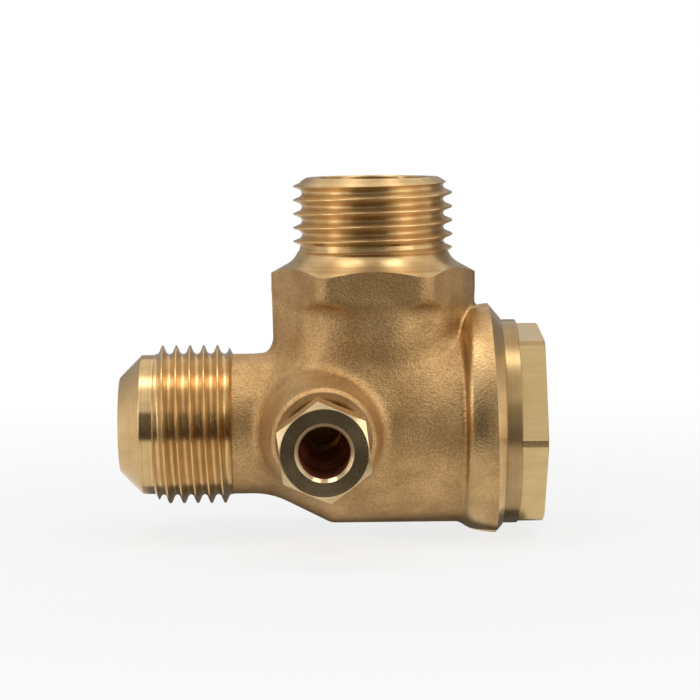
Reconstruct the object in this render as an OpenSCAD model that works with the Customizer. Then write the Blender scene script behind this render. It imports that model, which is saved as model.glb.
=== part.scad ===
// Flare fitting with a built-in check valve, for compressed air.
// Air enters at the flared inlet on the left, lifts a spring-loaded poppet off
// its seat and leaves through the threaded outlet on top. A hex cap on the right
// closes the valve chamber, and a hex nipple at the front bleeds the inlet side.
// Lengths are in millimetres. Every piece is drawn about the point where the
// barrel axis (X) crosses the outlet axis (Z), and the whole part is then set
// down so that the origin lies on the outlet axis, at the foot of its thread.

/* [Inlet] */
// Distance from the outlet axis to the end of the flare nose
inlet_reach = 33.6; // [30:0.1:44]
// Bore of the inlet passage
inlet_bore_d = 10.5; // [8:0.1:12]
// Width of the flat ring left at the end of the flare nose
flare_land = 1.05; // [0.5:0.05:1.6]
// Outside diameter of the inlet pipe thread
inlet_thread_d = 20.955; // [19.5:0.005:24]
// Length of the inlet pipe thread
inlet_thread_l = 9.7; // [6:0.1:11]
// Length of the plain nose ahead of the inlet thread
nose_l = 4.6; // [4:0.1:6]
// Depth of the pipe thread form
thread_depth = 1.162; // [0.8:0.001:1.4]

/* [Barrel] */
// Wall of the barrel round the cap thread
barrel_wall = 2.25; // [1.5:0.1:4]
// Distance left of the outlet axis where the barrel reaches its full diameter
barrel_start = 5.8; // [3:0.1:7]
// Slope of the cone between the inlet neck and the barrel, in degrees
cone_angle = 26.5; // [20:0.5:40]
// Radius of the blend between the inlet neck and the cone
neck_blend = 10; // [2:0.5:14]
// Distance from the outlet axis to the open end of the barrel
body_end = 16.7; // [15:0.1:24]
// How far the end flange stands above the barrel
flange_h = 2.1; // [1.5:0.1:4]
// Width of the end flange
flange_w = 5.4; // [4.2:0.1:8]
// How far the forged flange lies above the axis that the bores are turned on
flange_lift = 0.5; // [0:0.05:0.8]
// Slope of the bevel that is turned on the end flange, in degrees
flange_bevel_angle = 50; // [40:1:60]

/* [Outlet] */
// Height of the foot of the outlet thread above the barrel axis
outlet_rise = 22.8; // [21:0.1:32]
// Outside diameter of the outlet pipe thread
outlet_thread_d = 20.955; // [19:0.005:23]
// Length of the full outlet pipe thread
outlet_thread_l = 8.6; // [6:0.1:14]
// Wall between the outlet bore and the thread root
outlet_wall = 2.06; // [1:0.02:3]
// Length of the lead chamfer at the end of the outlet thread
outlet_lead = 1.1; // [0.5:0.1:2]
// Size across the flats of the hexagon below the outlet
outlet_hex_af = 24; // [23:0.5:32]
// Height of the flats at their corners
outlet_hex_h = 3.4; // [2:0.1:6]
// How much the hexagon's corners are rounded off
outlet_hex_trim = 0.41; // [0.2:0.01:0.8]
// Draft of the outlet neck, in degrees
neck_draft = 1.2; // [0.5:0.1:3]
// Depth of the outlet neck from front to back
neck_depth = 23.6; // [21:0.1:23.8]
// Radius between the neck's side flats and its front and back
neck_round = 8; // [2:0.5:11]

/* [Unloader port] */
// Distance of the port to the left of the outlet axis
port_offset = 6.75; // [5.6:0.05:8]
// How far the boss stands out of the barrel
boss_h = 4.75; // [3:0.1:9]
// Diameter of the boss at its machined face
boss_face_d = 13.1; // [12.4:0.1:15]
// Draft of the boss, in degrees
boss_draft = 12; // [5:0.5:15]
// Size across the flats of the nipple's hexagon
nipple_af = 11; // [10:0.5:13]
// Length of the nipple's hexagon
nipple_hex_l = 5.2; // [4:0.1:9]
// Length of screw thread left showing between the boss and the hexagon
nipple_neck_l = 5.8; // [2:0.1:8]
// Bore of the nipple's mouth
nipple_bore_d = 6.4; // [5:0.1:7.6]
// Depth of the nipple's mouth
nipple_bore_l = 8; // [5:0.1:9]
// Bore through the nipple's stub
nipple_passage_d = 5.1; // [3:0.1:6]
// Outside diameter of the nipple's stub
nipple_stub_d = 9.7; // [9:0.1:11]
// Bleed passage from the nipple's hole to the inlet bore
passage_d = 4.4; // [2.5:0.1:5]

/* [Valve] */
// Distance of the seat's face to the left of the outlet axis
seat_offset = 0.5; // [0:0.1:1]
// Height of the seat's raised lip
seat_lip_h = 1.5; // [1:0.1:2]
// Width of the seat's raised lip
seat_lip_w = 1.5; // [1:0.1:2.5]
// How far the rubber disc reaches past the seat's lip
seal_margin = 1.05; // [0.5:0.05:2]
// Thickness of the rubber disc
seal_t = 2.4; // [1.5:0.1:3.5]
// How far the rubber disc stands out of its cup
seal_proud = 0.5; // [0.2:0.05:0.9]
// Wall of the cup that holds the rubber disc
cup_wall = 0.7; // [0.5:0.05:1.5]
// Thickness of the poppet behind the rubber disc
poppet_web = 2.0; // [1.5:0.1:3]
// Gap between the poppet and the chamber wall
flow_gap = 0.9; // [0.5:0.05:2]
// Travel of the poppet from closed to fully open
lift = 3.5; // [2:0.1:4]
// Diameter of the poppet's guide stem
stem_d = 5; // [4.4:0.1:6]
// Length of stem inside its guide when the valve is shut
stem_grip = 5; // [3:0.1:6]
// Diameter of the retaining washer
washer_d = 7.2; // [6:0.1:8]
// Thickness of the retaining washer
washer_t = 0.8; // [0.5:0.1:1.2]
// Diameter of the retaining screw
screw_d = 2.9; // [2:0.1:3]
// Diameter of the retaining screw's head
screw_head_d = 5.2; // [4.5:0.1:5.8]
// Height of the retaining screw's head
screw_head_h = 1.6; // [1.2:0.1:2]
// Length of the retaining screw under its head
screw_l = 8.4; // [6:0.1:10]
// Wire diameter of the return spring
wire_d = 0.9; // [0.6:0.05:1.1]
// Number of turns in the return spring
spring_turns = 6.5; // [4:0.5:7]

/* [Cap] */
// Step from the chamber wall to the cap thread
cap_step = 1.5; // [1:0.1:2.5]
// How far the cap's round collar reaches past the cap thread
collar_overlap = 2.5; // [2:0.1:4]
// Width of the cap's round collar
collar_w = 2.05; // [1.2:0.05:4]
// Size across the flats of the cap's hexagon
cap_af = 24; // [20:0.5:30]
// Length of the cap's hexagon
cap_hex_l = 3.3; // [2.5:0.1:8]
// How much the corners of the cap's hexagon are rounded off
cap_hex_trim = 0.33; // [0.1:0.01:0.6]
// Wall of the guide tube inside the cap
guide_wall = 1.5; // [1:0.1:2]
// Distance of the guide tube's tip behind the plug's end
guide_setback = 1.0; // [0.5:0.1:2]
// Gap between the spring's wire and the parts beside it
spring_gap = 0.35; // [0.2:0.05:0.6]
// Section of the cap's sealing ring
ring_d = 1.56; // [1.2:0.02:2]
// Width of the sealing ring's groove
groove_w = 2.4; // [2.1:0.1:3]

/* [Hidden] */
$fn = 96;
arc_steps = 6;     // straight steps in each rounded corner of a profile
overcut = 1;       // how far a cut runs past the face that it opens

thread_fit = 0.1;  // radial gap at a screwed joint, drawn without its thread
slide_fit = 0.05;  // radial gap of the stem in its guide
pin_fit = 0.05;    // radial gap round the retaining screw
cup_fit = 0.1;     // radial gap round the rubber disc in its cup
seat_gap = 0.02;   // gap between the rubber disc and its seat when shut
seal_fit = 0.02;   // radial gap of the sealing ring in its groove
stop_gap = 0.3;    // what is left between poppet and cap at full lift
end_gap = 0.6;     // what is left at the end of a blind hole
nose_relief = 0.1; // how far the nose lies under the thread root
neck_relief = 0.04; // how far the inlet neck lies under the thread root
bore_web = 1.95;   // metal between the inlet passage and the outlet bore
port_web = 1.5;    // metal between the port's hole and the chamber

// Radii that follow one another outwards from the inlet passage
bore_r = inlet_bore_d / 2;
seat_r = bore_r + seat_lip_w;
seal_r = seat_r + seal_margin;
cup_r = seal_r + cup_fit;
poppet_r = cup_r + cup_wall;
chamber_r = poppet_r + flow_gap;
plug_r = chamber_r + cap_step;
cap_bore_r = plug_r + thread_fit;
barrel_r = plug_r + barrel_wall;
flange_r = barrel_r + flange_h;
collar_r = plug_r + collar_overlap;
bevel_r = collar_r + 0.3; // radius of the narrow ring left round the cap's collar

// Radii of the inlet
inlet_thread_r = inlet_thread_d / 2;
nose_r = inlet_thread_r - thread_depth - nose_relief;
inlet_neck_r = inlet_thread_r - thread_depth - neck_relief;
flare_r = bore_r + flare_land;

// Radii and heights of the outlet
outlet_thread_r = outlet_thread_d / 2;
outlet_root_r = outlet_thread_r - thread_depth;
outlet_bore_r = outlet_root_r - outlet_wall;
outlet_neck_r = outlet_hex_af / 2 / cos(30) - outlet_hex_trim;
runout_h = 1.2;    // height of the cone between the hexagon's chamfer and the thread
runout_rise = 0.55; // how far the top of that cone lies over the thread root
foot_lip = 0.08;   // how far the foot of that cone reaches past the thread
hex_chamfer_angle = 29;
foot_r = outlet_thread_r + foot_lip;
foot_z = outlet_rise - runout_h;
hex_top = foot_z - (outlet_neck_r - foot_r) * tan(hex_chamfer_angle);
hex_floor = hex_top - outlet_hex_h;
outlet_end = outlet_rise + outlet_thread_l + outlet_lead;
outlet_rim = 1.45; // width of the ring left at the end of the outlet

// Places along the barrel axis
nose_x = -inlet_reach;
inlet_thread_x = nose_x + nose_l;
inlet_neck_x = inlet_thread_x + inlet_thread_l;
seat_x = -seat_offset;
chamber_x = seat_x - seat_lip_h;
seal_x = seat_x + seat_gap;
seal_back_x = seal_x + seal_t;
cup_x = seal_x + seal_proud;
poppet_back_x = seal_back_x + poppet_web;
plug_x = poppet_back_x + lift + stop_gap;
guide_x = plug_x + guide_setback;
stem_x = guide_x + stem_grip;
guide_floor_x = stem_x + lift + end_gap;
groove_x = body_end - groove_w;
pocket_web = 1.2;  // metal between the spring pocket and the collar's seat
pocket_floor_x = body_end - pocket_web;
collar_x = body_end + collar_w;
cap_x = collar_x + cap_hex_l;
relief_w = 0.4;    // length of the counterbore ahead of the sealing ring's groove
mouth_x = groove_x - relief_w;
cap_thread_x = plug_x - end_gap;

// The spring and what it runs round
stem_r = stem_d / 2;
guide_r = stem_r + slide_fit + guide_wall;
spring_r = guide_r + spring_gap + wire_d / 2;
pocket_r = spring_r + wire_d / 2 + 2 * spring_gap;
pilot_h = 1.1;     // height of the step on the poppet that centres the spring
spring_seat_gap = 0.02;

// The sealing ring's groove and the smooth mouth round it
mouth_step = 0.35; // how far the smooth mouth lies outside the cap thread
mouth_r = cap_bore_r + mouth_step;
ring_r = mouth_r - seal_fit - ring_d / 2;
groove_r = ring_r - ring_d / 2 - seal_fit;

// The port
boss_face = barrel_r + boss_h;
nipple_back = boss_face + nipple_neck_l;
nipple_front = nipple_back + nipple_hex_l;
port_floor = chamber_r + port_web;
nipple_r = nipple_stub_d / 2;
port_r = nipple_r + thread_fit;

body_colour = "#b08a50";
cap_colour = "#c2a468";
steel_colour = "#b9bcc0";
rubber_colour = "#2a2a2c";

// Shared shapes

// Turns a piece drawn along Z so that it lies along the barrel axis
module along_barrel() {
    rotate([0, 90, 0]) children();
}

// Turns a piece drawn along Z so that it points to the front, at the port
module along_port() {
    translate([-port_offset, 0, 0]) rotate([90, 0, 0]) children();
}

// Turns a profile of [radius, place] points round its axis
module turned(profile) {
    rotate_extrude() polygon(profile);
}

// Hexagonal bar of the given size across flats, with a corner at the given angle
module hex_bar(af, from, to, corner_angle) {
    rotate([0, 0, corner_angle])
        translate([0, 0, from])
            cylinder(h = to - from, r = af / 2 / cos(30), $fn = 6);
}

// Points of an arc that rounds the corner at p between its neighbours a and b
function rounded(a, p, b, radius) =
    let (
        u = (a - p) / norm(a - p),
        v = (b - p) / norm(b - p),
        half = acos(u * v) / 2,
        centre = p + (u + v) / norm(u + v) * radius / sin(half),
        start = p + u * radius / tan(half) - centre,
        stop = p + v * radius / tan(half) - centre,
        first = atan2(start[1], start[0]),
        turn = atan2(start[0] * stop[1] - start[1] * stop[0], start * stop)
    )
    [for (i = [0:arc_steps])
        centre + radius * [cos(first + turn * i / arc_steps), sin(first + turn * i / arc_steps)]];

// The valve body, one brass forging with its bores and ports machined

// Outside of the inlet and the barrel, as [radius, place] points
module barrel_form() {
    thread_end_angle = 30;
    shoulder_blend = 2;
    lead = (inlet_thread_r - nose_r) * tan(thread_end_angle);
    tail = (inlet_thread_r - inlet_neck_r) * tan(thread_end_angle);
    cone_l = (barrel_r - inlet_neck_r) / tan(cone_angle);
    cone_x = -barrel_start - cone_l;
    neck = [inlet_neck_r, inlet_neck_x + tail];
    cone_foot = [inlet_neck_r, cone_x];
    cone_top = [barrel_r, -barrel_start];
    barrel_stop = [barrel_r, body_end];
    along_barrel() turned(concat(
        [[0, nose_x], [flare_r, nose_x], [nose_r, nose_x + nose_r - flare_r]],
        [[nose_r, inlet_thread_x], [inlet_thread_r, inlet_thread_x + lead]],
        [[inlet_thread_r, inlet_neck_x], neck],
        rounded(neck, cone_foot, cone_top, neck_blend),
        rounded(cone_foot, cone_top, barrel_stop, shoulder_blend),
        [barrel_stop, [0, body_end]]
    ));
}

// The end flange: a drafted ring that was forged a little off the turned axis,
// so the bevel turned on its edge is widest on top
module flange_form() {
    slope = 60;
    draft = 0.45;
    edge_blend = 0.5;
    root_r = barrel_r - 2 * flange_lift - edge_blend;
    shoulder_x = body_end - flange_w;
    root = [root_r, shoulder_x - (barrel_r - root_r) / tan(slope)];
    crest = [flange_r - draft, shoulder_x + (flange_h - draft) / tan(slope)];
    stop = [flange_r, body_end];
    blank_r = flange_r + flange_lift + overcut;
    intersection() {
        translate([0, 0, flange_lift]) along_barrel() turned(concat(
            [[0, root[1]], root],
            rounded(root, crest, stop, edge_blend),
            [stop, [0, body_end]]
        ));
        along_barrel() turned([
            [0, root[1] - overcut],
            [blank_r, root[1] - overcut],
            [blank_r, body_end - (blank_r - bevel_r) / tan(flange_bevel_angle)],
            [bevel_r, body_end],
            [0, body_end]
        ]);
    }
}

// Section of the outlet neck: the hexagon's side flats run down it to corners on
// the left and right, and its front and back are rounded off
module neck_section() {
    inset = 0.05; // how far the neck's flats lie inside the hexagon's
    flat = outlet_hex_af / 2 - inset;
    side = [flat / cos(30), 0];
    front = [(flat - neck_depth / 2 * cos(60)) / sin(60), neck_depth / 2];
    other_front = [-front[0], front[1]];
    half = concat(
        [side],
        rounded(side, front, other_front, neck_round),
        rounded(front, other_front, -side, neck_round)
    );
    polygon(concat(half, [for (p = half) -p]));
}

// Outside of the outlet: a drafted neck, a hexagon for a spanner and the thread
module outlet_form() {
    neck_top = hex_floor + overcut;
    neck_foot_r = outlet_neck_r - neck_top * tan(neck_draft);
    intersection() {
        turned([[0, 0], [neck_foot_r, 0], [outlet_neck_r, neck_top], [0, neck_top]]);
        linear_extrude(height = neck_top) neck_section();
    }
    intersection() {
        hex_bar(outlet_hex_af, hex_floor, outlet_rise, 0);
        turned([
            [0, hex_floor],
            [outlet_neck_r, hex_floor],
            [outlet_neck_r, hex_top],
            [foot_r, foot_z],
            [0, foot_z]
        ]);
    }
    turned([
        [0, hex_floor],
        [outlet_root_r, hex_floor],
        [foot_r, foot_z],
        [outlet_root_r + runout_rise, outlet_rise],
        [outlet_thread_r, outlet_rise],
        [outlet_thread_r, outlet_rise + outlet_thread_l],
        [outlet_bore_r + outlet_rim, outlet_end],
        [0, outlet_end]
    ]);
}

// Outside of the unloader port's boss, drafted and run into the barrel
module port_boss() {
    inlet_wall = 2; // metal between the inlet passage and the boss's root
    root = bore_r + inlet_wall;
    root_r = boss_face_d / 2 + (boss_face - root) * tan(boss_draft);
    edge = 0.3;
    along_port() turned([
        [0, root],
        [root_r, root],
        [boss_face_d / 2 + edge * tan(boss_draft), boss_face - edge],
        [boss_face_d / 2 - edge, boss_face],
        [0, boss_face]
    ]);
}

// Everything that is bored along the barrel: inlet passage, chamber and cap thread
module barrel_bores() {
    along_barrel() turned([
        [0, nose_x - overcut],
        [bore_r, nose_x - overcut],
        [bore_r, seat_x],
        [seat_r, seat_x],
        [seat_r, chamber_x],
        [chamber_r, chamber_x],
        [chamber_r, cap_thread_x],
        [cap_bore_r, cap_thread_x],
        [cap_bore_r, mouth_x],
        [mouth_r, mouth_x],
        [mouth_r, body_end + overcut],
        [0, body_end + overcut]
    ]);
}

module outlet_bore() {
    floor_z = bore_r + bore_web;
    translate([0, 0, floor_z])
        cylinder(h = outlet_end - floor_z + overcut, r = outlet_bore_r);
}

// The nipple's hole and the bleed passage behind it
module port_bores() {
    along_port() {
        translate([0, 0, port_floor])
            cylinder(h = boss_face - port_floor + overcut, r = port_r);
        translate([0, 0, bore_r / 2])
            cylinder(h = port_floor, r = passage_d / 2);
    }
}

module valve_body() {
    color(body_colour) difference() {
        union() {
            barrel_form();
            flange_form();
            outlet_form();
            port_boss();
        }
        barrel_bores();
        outlet_bore();
        port_bores();
    }
}

// The cap: a hollow plug with a collar and a hexagon, and a guide for the stem

module cap_blank() {
    lead = 0.6;
    edge = 0.15;
    along_barrel() {
        turned([
            [0, plug_x],
            [plug_r - lead, plug_x],
            [plug_r, plug_x + lead],
            [plug_r, groove_x],
            [groove_r, groove_x],
            [groove_r, body_end],
            [collar_r, body_end],
            [collar_r, collar_x - edge],
            [collar_r - edge, collar_x],
            [0, collar_x]
        ]);
        cap_hexagon();
    }
}

// The hexagon has trimmed corners and a chamfer round its end
module cap_hexagon() {
    corner_r = cap_af / 2 / cos(30) - cap_hex_trim;
    chamfer_l = 0.15;
    chamfer_w = 0.4;
    corner_angle = 35.5; // turned as it stopped when the cap was tightened
    intersection() {
        hex_bar(cap_af, collar_x - overcut, cap_x, corner_angle);
        turned([
            [0, collar_x - overcut],
            [corner_r, collar_x - overcut],
            [corner_r, cap_x - chamfer_l],
            [corner_r - chamfer_w, cap_x],
            [0, cap_x]
        ]);
    }
}

module end_cap() {
    color(cap_colour) difference() {
        cap_blank();
        along_barrel() {
            turned([
                [0, plug_x - overcut],
                [pocket_r, plug_x - overcut],
                [pocket_r, pocket_floor_x],
                [guide_r, pocket_floor_x],
                [guide_r, guide_x],
                [0, guide_x]
            ]);
            translate([0, 0, plug_x])
                cylinder(h = guide_floor_x - plug_x, r = stem_r + slide_fit);
        }
    }
}

module cap_sealing_ring() {
    color(rubber_colour)
        along_barrel()
            translate([0, 0, body_end - groove_w / 2])
                rotate_extrude() translate([ring_r, 0]) circle(d = ring_d, $fn = 48);
}

// The poppet and what is screwed to it

module poppet() {
    tip = 0.5;
    screw_hole = seal_x - washer_t + screw_l + end_gap;
    color(cap_colour) along_barrel() difference() {
        turned([
            [0, seal_back_x],
            [cup_r, seal_back_x],
            [cup_r, cup_x],
            [poppet_r, cup_x],
            [poppet_r, poppet_back_x],
            [guide_r, poppet_back_x],
            [guide_r, poppet_back_x + pilot_h],
            [stem_r, poppet_back_x + pilot_h],
            [stem_r, stem_x - tip],
            [stem_r - tip, stem_x],
            [0, stem_x]
        ]);
        translate([0, 0, seal_back_x - overcut])
            cylinder(h = screw_hole - seal_back_x + overcut, r = screw_d / 2 + pin_fit);
    }
}

// Flat ring that lies on the barrel axis
module flat_ring(outer_r, from, thickness) {
    along_barrel() difference() {
        translate([0, 0, from]) cylinder(h = thickness, r = outer_r);
        translate([0, 0, from - overcut])
            cylinder(h = thickness + 2 * overcut, r = screw_d / 2 + pin_fit);
    }
}

module poppet_seal() {
    color(rubber_colour) flat_ring(seal_r, seal_x, seal_t);
}

module seal_washer() {
    color(steel_colour) flat_ring(washer_d / 2, seal_x - washer_t, washer_t);
}

module seal_screw() {
    head_x = seal_x - washer_t;
    slot_w = 0.8;
    slot_depth = screw_head_h / 2;
    edge = 0.3;
    color(steel_colour) along_barrel() difference() {
        turned([
            [0, head_x - screw_head_h],
            [screw_head_d / 2 - edge, head_x - screw_head_h],
            [screw_head_d / 2, head_x - screw_head_h + edge],
            [screw_head_d / 2, head_x],
            [screw_d / 2, head_x],
            [screw_d / 2, head_x + screw_l],
            [0, head_x + screw_l]
        ]);
        translate([-slot_w / 2, -screw_head_d, head_x - screw_head_h - overcut])
            cube([slot_w, 2 * screw_head_d, slot_depth + overcut]);
    }
}

// The return spring: one wire wound between the poppet and the cap's pocket

rings_per_turn = 8;
wire_sides = 6;
spring_rings = round(spring_turns * rings_per_turn);
spring_from = poppet_back_x + wire_d / 2 + spring_seat_gap;
spring_to = pocket_floor_x - wire_d / 2 - spring_seat_gap;

// Place along the axis and angle of a ring of the wire, for t from 0 to 1
function spring_x(t) = spring_from + (spring_to - spring_from) * t;
function spring_angle(t) = 360 * spring_turns * t;
function spring_centre(t) =
    [spring_r * cos(spring_angle(t)), spring_r * sin(spring_angle(t)), spring_x(t)];

// One ring of points round the wire
function spring_ring(t) =
    [for (i = [0:wire_sides - 1])
        let (
            a = 360 * i / wire_sides,
            out = spring_r + wire_d / 2 * cos(a)
        )
        [out * cos(spring_angle(t)), out * sin(spring_angle(t)), spring_x(t) + wire_d / 2 * sin(a)]];

// Least distance between one turn of the wire and the next, less its diameter
spring_least_gap = min([for (i = [0:spring_rings - rings_per_turn])
    norm(spring_centre((i + rings_per_turn) / spring_rings) - spring_centre(i / spring_rings))]) - wire_d;
echo(spring_least_gap = spring_least_gap);

module return_spring() {
    points = [for (k = [0:spring_rings]) each spring_ring(k / spring_rings)];
    last = spring_rings * wire_sides;
    sides = [for (k = [0:spring_rings - 1], i = [0:wire_sides - 1])
        let (
            a = k * wire_sides + i,
            b = k * wire_sides + (i + 1) % wire_sides
        )
        each [[a, b, b + wire_sides], [a, b + wire_sides, a + wire_sides]]];
    start = [for (i = [1:wire_sides - 2]) [0, i + 1, i]];
    stop = [for (i = [1:wire_sides - 2]) [last, last + i, last + i + 1]];
    color(steel_colour) along_barrel()
        polyhedron(points, concat(sides, start, stop));
}

// The nipple: a hexagon on a stub that screws into the boss

module nipple_hexagon() {
    chamfer_angle = 30;
    face_inset = 0.1; // how far the chamfer's rim lies inside the flats
    chamfer_r = nipple_af / 2 - face_inset;
    blank_r = nipple_af / 2 / cos(30) + overcut;
    chamfer_l = (blank_r - chamfer_r) * tan(chamfer_angle);
    hex_clock = 37; // turned as it stopped when the nipple was screwed in
    intersection() {
        hex_bar(nipple_af, nipple_back, nipple_front, hex_clock);
        turned([
            [0, nipple_back],
            [blank_r, nipple_back],
            [blank_r, nipple_front - chamfer_l],
            [chamfer_r, nipple_front],
            [0, nipple_front]
        ]);
    }
}

module unloader_nipple() {
    stub_end = port_floor + end_gap;
    lead = 0.5;
    mouth_chamfer = 0.45;
    bore_floor = nipple_front - nipple_bore_l;
    color(cap_colour) along_port() difference() {
        union() {
            nipple_hexagon();
            turned([
                [0, stub_end],
                [nipple_r - lead, stub_end],
                [nipple_r, stub_end + lead],
                [nipple_r, nipple_back + overcut],
                [0, nipple_back + overcut]
            ]);
        }
        turned([
            [0, stub_end - overcut],
            [nipple_passage_d / 2, stub_end - overcut],
            [nipple_passage_d / 2, bore_floor],
            [nipple_bore_d / 2, bore_floor],
            [nipple_bore_d / 2, nipple_front - mouth_chamfer],
            [nipple_bore_d / 2 + mouth_chamfer + overcut, nipple_front + overcut],
            [0, nipple_front + overcut]
        ]);
    }
}

// Sets a piece down from the crossing of the axes to the part's own origin
module set_down() {
    translate([0, 0, -outlet_rise]) children();
}

set_down() valve_body();
set_down() end_cap();
set_down() cap_sealing_ring();
set_down() poppet();
set_down() poppet_seal();
set_down() seal_washer();
set_down() seal_screw();
set_down() return_spring();
set_down() unloader_nipple();
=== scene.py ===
import math

import bpy
import numpy as np
from mathutils import Matrix, Vector


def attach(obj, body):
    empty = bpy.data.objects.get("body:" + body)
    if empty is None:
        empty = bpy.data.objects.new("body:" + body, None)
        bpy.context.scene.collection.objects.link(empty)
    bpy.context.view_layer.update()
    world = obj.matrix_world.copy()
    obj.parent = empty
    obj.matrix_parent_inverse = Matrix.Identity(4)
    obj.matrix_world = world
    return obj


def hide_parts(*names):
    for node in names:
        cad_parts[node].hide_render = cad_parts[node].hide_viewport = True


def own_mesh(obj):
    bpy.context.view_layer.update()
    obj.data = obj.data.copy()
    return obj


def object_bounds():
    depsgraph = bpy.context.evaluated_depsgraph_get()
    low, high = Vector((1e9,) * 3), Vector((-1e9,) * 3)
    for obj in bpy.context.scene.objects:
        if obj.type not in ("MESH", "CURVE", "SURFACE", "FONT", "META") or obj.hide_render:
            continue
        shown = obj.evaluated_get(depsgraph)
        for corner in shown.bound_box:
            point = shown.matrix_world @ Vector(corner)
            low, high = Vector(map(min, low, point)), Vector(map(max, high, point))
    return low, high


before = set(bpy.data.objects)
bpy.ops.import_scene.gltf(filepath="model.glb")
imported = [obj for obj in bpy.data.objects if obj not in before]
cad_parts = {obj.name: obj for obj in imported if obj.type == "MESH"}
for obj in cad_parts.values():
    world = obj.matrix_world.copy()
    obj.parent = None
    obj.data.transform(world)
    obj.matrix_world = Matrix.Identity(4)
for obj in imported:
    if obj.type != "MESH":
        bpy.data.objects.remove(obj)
cad_low, cad_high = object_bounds()

# Sizes are in millimetres, about the point where the barrel axis (X) crosses the
# outlet axis (Z). The part's own origin lies OUTLET_RISE above that point.
MM = 0.001
OUTLET_RISE = 22.8

# Both pipe threads are G 1/2
THREAD_R = 10.4775
THREAD_PITCH = 1.814
THREAD_DEPTH = 1.162
THREAD_CREST = 0.18

INLET_CLOCK = -0.563   # where the threads start, in radians
OUTLET_CLOCK = -1.413

# Inlet
NOSE_X = -33.6
NOSE_R = 9.2155
FLARE_R = 6.3
INLET_BORE_R = 5.25
INLET_THREAD_X = -29.0
INLET_LEAD_X = -28.271
INLET_THREAD_END = -19.3
INLET_RUN_OUT = 0.7
INLET_NECK_R = 9.2755
INLET_CORE_X = -14.0

# Barrel, flange and what is bored into them
BARREL_R = 13.25
CONE_FOOT_X = -13.772
CONE_TOP_X = -5.8
FLANGE_R = 15.35
FLANGE_X = 11.3
FLANGE_LIFT = 0.5
FLANGE_DRAFT = 0.1
SHOULDER_LEAN = 0.24         # slope of the flange's shoulder at the sides
SHOULDER_LEAN_BELOW = 0.83   # and what it gains underneath and on top
SHOULDER_LEAN_ABOVE = 0.3
SHOULDER_SHIFT = 0.22        # where the shoulder starts after FLANGE_X
SHOULDER_SHIFT_BELOW = 0.92  # and how much earlier underneath
SWELL = 0.035                # how the flange's side falls off towards its shoulder
SWELL_FROM = 1.7
BEVEL_R = 13.8
BEVEL_SLOPE = math.radians(50)
BEVEL_RISE = 2.4
BODY_END = 16.7
SEAT_X = -0.5
SEAT_R = 6.75
CHAMBER_X = -2.0
CHAMBER_R = 9.5
CAP_THREAD_X = 7.12
CAP_BORE_R = 11.1
MOUTH_X = 13.9
MOUTH_R = 11.45

# Outlet
HEX_FLAT = 12.0
HEX_R = 13.446
HEX_FLOOR = 16.95
HEX_UNDER = math.radians(40)
HEX_TOP = 20.0
HEX_SPARE = 3.0              # forged higher by this, then turned off
FOOT_Z = 21.6
FOOT_R = 10.5575
WAIST_R = 9.8655
OUTLET_LEAD_Z = 31.4
OUTLET_END = 32.5
OUTLET_BORE_R = 7.2555
OUTLET_RIM_R = 8.7055
OUTLET_FLOOR = 7.2
OUTLET_CORE_R = 9.0
OUTLET_CORE_Z = 12.0
OUTLET_CORE_TOP_R = 8.5
NECK_DRAFT = math.radians(1.2)
NECK_DEPTH = 23.3
NECK_ROUND = 5.0
NECK_MIDDLE = 12.0           # it runs from the barrel's axis to as far above this

# Unloader port and its nipple, measured outwards along the port
PORT_X = -6.75
PORT_R = 4.95
PORT_FLOOR = 11.0
PASSAGE_R = 2.2
BOSS_FACE = 18.0
BOSS_R = 6.55
BOSS_DRAFT = math.radians(12)
BOSS_SPARE = 1.2             # forged longer by this, then faced off
BOSS_CHAMFER = (0.36, 0.5)   # across the face and along the side
NIPPLE_FLAT = 5.5
NIPPLE_BACK = 23.8
NIPPLE_FRONT = 29.0
NIPPLE_R = 4.85
NIPPLE_PITCH = 1.0
NIPPLE_THREAD_DEPTH = 0.6
NIPPLE_CREST = 0.14
NIPPLE_BORE_R = 3.2
NIPPLE_BORE_FLOOR = 21.0
NIPPLE_PASSAGE_R = 2.55
NIPPLE_END = 11.6
NIPPLE_CLOCK = math.radians(37)

# End cap
CAP_FLAT = 12.0
CAP_CORNER_R = 13.62
CAP_CLOCK = math.radians(35.5)
COLLAR_R = 13.5
COLLAR_X = 18.75
CAP_X = 22.05
PLUG_X = 7.72
PLUG_R = 11.0
GROOVE_X = 14.3
GROOVE_R = 9.85
POCKET_R = 6.0
POCKET_FLOOR_X = 15.5
GUIDE_R = 4.05
GUIDE_X = 8.72
GUIDE_BORE_R = 2.55
GUIDE_FLOOR_X = 17.82

# Return spring
SPRING_R = 4.85
SPRING_FROM = 4.39
SPRING_TO = 15.03
SPRING_TURNS = 6.5
WIRE_R = 0.45

# Turns a mesh that is drawn along Z so that it lies along each of the part's axes
ALONG_BARREL = Matrix.Rotation(math.radians(90), 4, "Y")
ALONG_OUTLET = Matrix.Identity(4)
ALONG_PORT = Matrix.Translation((PORT_X, 0, 0)) @ Matrix.Rotation(math.radians(90), 4, "X")
SET_DOWN = Matrix.Scale(MM, 4) @ Matrix.Translation((0, 0, -OUTLET_RISE))

# How finely round forms are drawn, and how far cutting forms reach past what they cut
SIDES = 160
FINE_SIDES = 192
FAR = 60
ON_SKIN = 0.03   # how near to a skin or a bore's wall a face counts as part of it


# Nodes and colours

def linear(code):
    """An sRGB hex colour as linear red, green, blue and alpha."""
    parts = [int(code[i:i + 2], 16) / 255 for i in (1, 3, 5)]
    return [c / 12.92 if c <= 0.04045 else ((c + 0.055) / 1.055) ** 2.4 for c in parts] + [1.0]


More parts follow.
